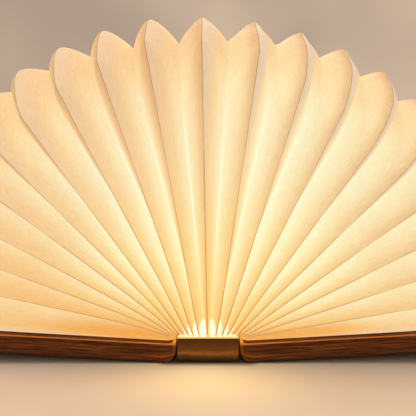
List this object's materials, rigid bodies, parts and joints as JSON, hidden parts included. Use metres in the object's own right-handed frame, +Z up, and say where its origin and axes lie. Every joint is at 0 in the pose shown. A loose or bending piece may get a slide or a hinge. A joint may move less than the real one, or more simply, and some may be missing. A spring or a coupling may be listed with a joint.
{
  "type": "folding book lamp",
  "caption": "Small lamp shaped like an open book: wooden covers hinge on a metal spine, and a pleated glowing paper shade fans out between them.",
  "frame": {"origin": "on the table, under the middle of the spine: the centre of the bounding box's bottom face", "axes": "+X across the open book towards its right cover, +Y along the spine from the head end to the tail end, +Z up"},
  "size_m": [0.187, 0.122, 0.0882],
  "materials": {
    "aged_bronze": "aged bronze lacquer, satin",
    "white_board": "white solder mask",
    "lamp_chip": "phosphor gel",
    "diffuser": "opal, frosted",
    "cell_pouch": "laminated foil",
    "nickel_strip": "nickel strip",
    "circuit_board": "green solder mask",
    "black_plastic": "moulded epoxy",
    "gold_pin": "gold flash",
    "socket_steel": "stamped steel",
    "button_metal": "aged bronze",
    "walnut": "oiled walnut",
    "page_paper": "fibrous spunbond paper",
    "magnet": "nickel plated",
    "hinge_steel": "bronzed steel",
    "screw_steel": "zinc plated"
  },
  "bodies": {
    "spine": {"spine_channel": "aged_bronze", "head_end_cap": "aged_bronze", "tail_end_cap": "aged_bronze", "led_board": "white_board", "led_chips": "lamp_chip", "light_diffuser": "diffuser", "battery_cell": "cell_pouch", "battery_leads": "nickel_strip", "control_board": "circuit_board", "board_components": "black_plastic", "board_link_pins": "gold_pin", "charging_socket": "socket_steel", "button_switch": "black_plastic", "left_hinge_spine_leaf": "hinge_steel", "right_hinge_spine_leaf": "hinge_steel", "left_hinge_pin": "hinge_steel", "right_hinge_pin": "hinge_steel", "spine_hinge_screws": "screw_steel", "pleat_centre": "page_paper"},
    "mode_button": {"mode_button": "button_metal"},
    "left_cover": {"left_cover_board": "walnut", "left_cover_liner": "page_paper", "left_cover_magnets": "magnet", "left_hinge_cover_leaf": "hinge_steel", "left_hinge_screws": "screw_steel", "left_end_page": "page_paper"},
    "right_cover": {"right_cover_board": "walnut", "right_cover_liner": "page_paper", "right_cover_magnets": "magnet", "lid_trigger_magnet": "magnet", "right_hinge_cover_leaf": "hinge_steel", "right_hinge_screws": "screw_steel", "right_end_page": "page_paper"},
    "left_page_1": {"pleat_left_1": "page_paper"},
    "left_page_2": {"pleat_left_2": "page_paper"},
    "left_page_3": {"pleat_left_3": "page_paper"},
    "left_page_4": {"pleat_left_4": "page_paper"},
    "left_page_5": {"pleat_left_5": "page_paper"},
    "left_page_6": {"pleat_left_6": "page_paper"},
    "left_page_7": {"pleat_left_7": "page_paper"},
    "left_page_8": {"pleat_left_8": "page_paper"},
    "left_page_9": {"pleat_left_9": "page_paper"},
    "right_page_1": {"pleat_right_1": "page_paper"},
    "right_page_2": {"pleat_right_2": "page_paper"},
    "right_page_3": {"pleat_right_3": "page_paper"},
    "right_page_4": {"pleat_right_4": "page_paper"},
    "right_page_5": {"pleat_right_5": "page_paper"},
    "right_page_6": {"pleat_right_6": "page_paper"},
    "right_page_7": {"pleat_right_7": "page_paper"},
    "right_page_8": {"pleat_right_8": "page_paper"},
    "right_page_9": {"pleat_right_9": "page_paper"}
  },
  "joints": [
    {"name": "left_cover_hinge", "type": "hinge", "parent": "spine", "child": "left_cover", "pos_m": [-0.00735, 0, 0.0061], "axis": [0, 1, 0], "range_deg": [0, 86.6], "deforming": ["left_end_page", "pleat_centre"]},
    {"name": "right_cover_hinge", "type": "hinge", "parent": "spine", "child": "right_cover", "pos_m": [0.00735, 0, 0.0061], "axis": [0, -1, 0], "range_deg": [0, 86.6], "deforming": ["right_end_page"]},
    {"name": "mode_button_press", "type": "slide", "parent": "spine", "child": "mode_button", "axis": [0, -1, 0], "range_m": [0, 0.00035], "stiffness_N_per_m": 1500},
    {"name": "left_page_1_fold", "type": "hinge", "parent": "spine", "child": "left_page_1", "pos_m": [-0.00159, 0, 0.00573], "axis": [0, 1, 0], "range_deg": [0, 8.82], "deforming": ["pleat_left_1"]},
    {"name": "left_page_2_fold", "type": "hinge", "parent": "spine", "child": "left_page_2", "pos_m": [-0.00297, 0, 0.00573], "axis": [0, 1, 0], "range_deg": [0, 17.51], "deforming": ["pleat_left_2"]},
    {"name": "left_page_3_fold", "type": "hinge", "parent": "spine", "child": "left_page_3", "pos_m": [-0.00428, 0, 0.00573], "axis": [0, 1, 0], "range_deg": [0, 26.12], "deforming": ["pleat_left_3"]},
    {"name": "left_page_4_fold", "type": "hinge", "parent": "spine", "child": "left_page_4", "pos_m": [-0.00551, 0, 0.00573], "axis": [0, 1, 0], "range_deg": [0, 34.66], "deforming": ["pleat_left_4"]},
    {"name": "left_page_5_fold", "type": "hinge", "parent": "spine", "child": "left_page_5", "pos_m": [-0.00665, 0, 0.00573], "axis": [0, 1, 0], "range_deg": [0, 43.15], "deforming": ["pleat_left_5"]},
    {"name": "left_page_6_fold", "type": "hinge", "parent": "left_cover", "child": "left_page_6", "pos_m": [-0.00812, 0, 0.00606], "axis": [0, 1, 0], "range_deg": [-35.02, 0], "deforming": ["pleat_left_6"]},
    {"name": "left_page_7_fold", "type": "hinge", "parent": "left_cover", "child": "left_page_7", "pos_m": [-0.00882, 0, 0.00582], "axis": [0, 1, 0], "range_deg": [-26.52, 0], "deforming": ["pleat_left_7"]},
    {"name": "left_page_8_fold", "type": "hinge", "parent": "left_cover", "child": "left_page_8", "pos_m": [-0.00932, 0, 0.0056], "axis": [0, 1, 0], "range_deg": [-17.99, 0], "deforming": ["pleat_left_8"]},
    {"name": "left_page_9_fold", "type": "hinge", "parent": "left_cover", "child": "left_page_9", "pos_m": [-0.00961, 0, 0.00541], "axis": [0, 1, 0], "range_deg": [-9.39, 0], "deforming": ["pleat_left_9"]},
    {"name": "right_page_1_fold", "type": "hinge", "parent": "spine", "child": "right_page_1", "pos_m": [0.00128, 0, 0.00573], "axis": [0, -1, 0], "range_deg": [0, 8.72], "deforming": ["pleat_right_1"]},
    {"name": "right_page_2_fold", "type": "hinge", "parent": "spine", "child": "right_page_2", "pos_m": [0.00272, 0, 0.00573], "axis": [0, -1, 0], "range_deg": [0, 17.52], "deforming": ["pleat_right_2"]},
    {"name": "right_page_3_fold", "type": "hinge", "parent": "spine", "child": "right_page_3", "pos_m": [0.00411, 0, 0.00573], "axis": [0, -1, 0], "range_deg": [0, 26.41], "deforming": ["pleat_right_3"]},
    {"name": "right_page_4_fold", "type": "hinge", "parent": "spine", "child": "right_page_4", "pos_m": [0.00544, 0, 0.00573], "axis": [0, -1, 0], "range_deg": [0, 35.34], "deforming": ["pleat_right_4"]},
    {"name": "right_page_5_fold", "type": "hinge", "parent": "spine", "child": "right_page_5", "pos_m": [0.00667, 0, 0.00573], "axis": [0, -1, 0], "range_deg": [0, 44.32], "deforming": ["pleat_right_5"]},
    {"name": "right_page_6_fold", "type": "hinge", "parent": "right_cover", "child": "right_page_6", "pos_m": [0.00821, 0, 0.00605], "axis": [0, -1, 0], "range_deg": [-33.36, 0], "deforming": ["pleat_right_6"]},
    {"name": "right_page_7_fold", "type": "hinge", "parent": "right_cover", "child": "right_page_7", "pos_m": [0.00895, 0, 0.00579], "axis": [0, -1, 0], "range_deg": [-24.43, 0], "deforming": ["pleat_right_7"]},
    {"name": "right_page_8_fold", "type": "hinge", "parent": "right_cover", "child": "right_page_8", "pos_m": [0.00945, 0, 0.00556], "axis": [0, -1, 0], "range_deg": [-15.56, 0], "deforming": ["pleat_right_8"]},
    {"name": "right_page_9_fold", "type": "hinge", "parent": "right_cover", "child": "right_page_9", "pos_m": [0.00969, 0, 0.00537], "axis": [0, -1, 0], "range_deg": [-6.79, 0], "deforming": ["pleat_right_9"]}
  ],
  "couplings": [
    {"joint": "left_page_1_fold", "follows": "left_cover_hinge", "ratio": 0.1016},
    {"joint": "left_page_2_fold", "follows": "left_cover_hinge", "ratio": 0.202},
    {"joint": "left_page_3_fold", "follows": "left_cover_hinge", "ratio": 0.3014},
    {"joint": "left_page_4_fold", "follows": "left_cover_hinge", "ratio": 0.4},
    {"joint": "left_page_5_fold", "follows": "left_cover_hinge", "ratio": 0.498},
    {"joint": "left_page_6_fold", "follows": "left_cover_hinge", "ratio": -0.4041},
    {"joint": "left_page_7_fold", "follows": "left_cover_hinge", "ratio": -0.306},
    {"joint": "left_page_8_fold", "follows": "left_cover_hinge", "ratio": -0.2075},
    {"joint": "left_page_9_fold", "follows": "left_cover_hinge", "ratio": -0.1082},
    {"joint": "right_page_1_fold", "follows": "right_cover_hinge", "ratio": 0.1005},
    {"joint": "right_page_2_fold", "follows": "right_cover_hinge", "ratio": 0.2021},
    {"joint": "right_page_3_fold", "follows": "right_cover_hinge", "ratio": 0.3047},
    {"joint": "right_page_4_fold", "follows": "right_cover_hinge", "ratio": 0.4079},
    {"joint": "right_page_5_fold", "follows": "right_cover_hinge", "ratio": 0.5115},
    {"joint": "right_page_6_fold", "follows": "right_cover_hinge", "ratio": -0.385},
    {"joint": "right_page_7_fold", "follows": "right_cover_hinge", "ratio": -0.2819},
    {"joint": "right_page_8_fold", "follows": "right_cover_hinge", "ratio": -0.1795},
    {"joint": "right_page_9_fold", "follows": "right_cover_hinge", "ratio": -0.0782}
  ]
}
